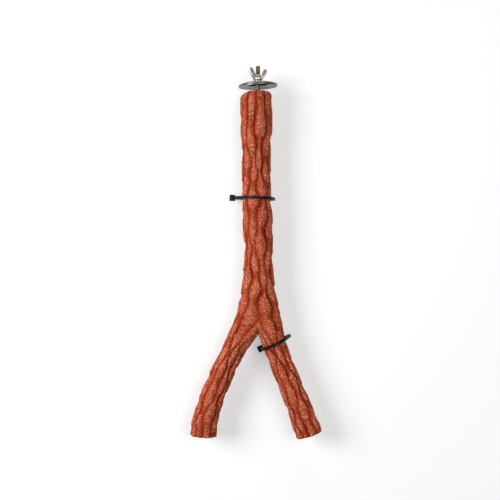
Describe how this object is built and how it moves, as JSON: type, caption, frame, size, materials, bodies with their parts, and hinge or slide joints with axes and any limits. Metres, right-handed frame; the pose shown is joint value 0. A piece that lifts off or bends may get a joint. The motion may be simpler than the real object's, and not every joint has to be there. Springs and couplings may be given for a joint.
{
  "type": "forked bird perch",
  "caption": "Forked bark-textured perch with a threaded stud, dished washers and a wing nut that clamp a cage wall.",
  "frame": {"origin": "on the stud's axis, in the flat top end of the branch where the stud leaves it", "axes": "+Z along the stud away from the branch, +X to the right of the fork seen from the front, -Y toward the viewer"},
  "size_m": [0.1082, 0.032, 0.3074],
  "materials": {
    "mineral_bark": "rough moulded mineral with fine pale grains",
    "zinc_plate": "bright zinc plate",
    "washer_steel": "satin sheet steel",
    "black_nylon": "satin moulded nylon"
  },
  "bodies": {
    "branch": {"branch": "mineral_bark", "stud_bolt": "zinc_plate", "upper_tie": "black_nylon", "lower_tie": "black_nylon"},
    "outer_washer": {"outer_washer": "washer_steel"},
    "inner_washer": {"inner_washer": "washer_steel"},
    "wing_nut": {"wing_nut": "zinc_plate"}
  },
  "joints": [
    {"name": "outer_washer_travel", "type": "slide", "parent": "branch", "child": "outer_washer", "axis": [0, 0, 1], "range_m": [-0.0021, 0.007]},
    {"name": "wing_nut_spin", "type": "hinge", "parent": "outer_washer", "child": "wing_nut", "pos_m": [0, 0, 0.0079], "axis": [0, 0, 1], "range_deg": [-1080, 3600]},
    {"name": "inner_washer_travel", "type": "slide", "parent": "outer_washer", "child": "inner_washer", "axis": [0, 0, 1], "range_m": [-0.0028, 0]}
  ],
  "couplings": [
    {"joint": "wing_nut_spin", "follows": "outer_washer_travel", "rad_per_m": 8976}
  ]
}
